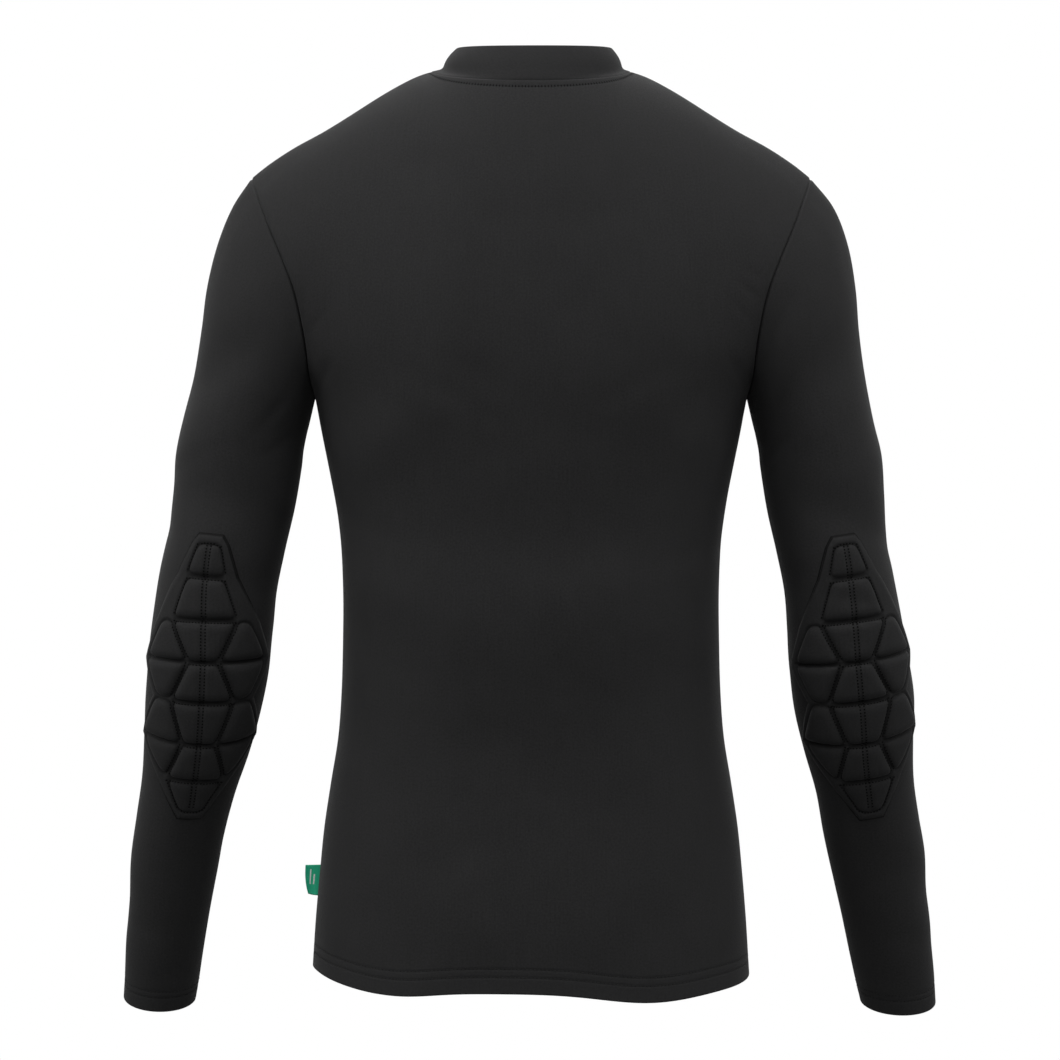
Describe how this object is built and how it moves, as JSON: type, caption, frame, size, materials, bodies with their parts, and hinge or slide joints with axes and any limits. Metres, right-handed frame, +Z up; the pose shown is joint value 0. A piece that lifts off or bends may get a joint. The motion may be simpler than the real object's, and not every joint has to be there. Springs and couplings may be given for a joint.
{
  "type": "padded compression shirt",
  "caption": "Long-sleeved close-fitting knit shirt with a low mock neck and quilted elbow pads, hollow and filled out as worn.",
  "frame": {"origin": "in the middle of the neck, level with the foot of the collar and midway between the two neck points, where the shirt hangs from the wearer's shoulders", "axes": "+Z up; the front of the shirt faces -Y and the wearer's left is at +X"},
  "size_m": [0.6485, 0.2318, 0.7587],
  "materials": {
    "jersey": "matte fine-gauge stretch knit, charcoal black",
    "collar_jersey": "matte stretch knit folded double, charcoal black",
    "quilted_pad": "matte knit bonded over soft foam, quilted",
    "woven_label": "woven ribbon, green, slight sheen"
  },
  "bodies": {
    "root": {"back_panel": "jersey", "front_panel": "jersey", "sleeve_left": "jersey", "sleeve_right": "jersey", "collar": "collar_jersey", "elbow_pad_left": "quilted_pad", "elbow_pad_right": "quilted_pad", "side_label": "woven_label"}
  },
  "joints": []
}
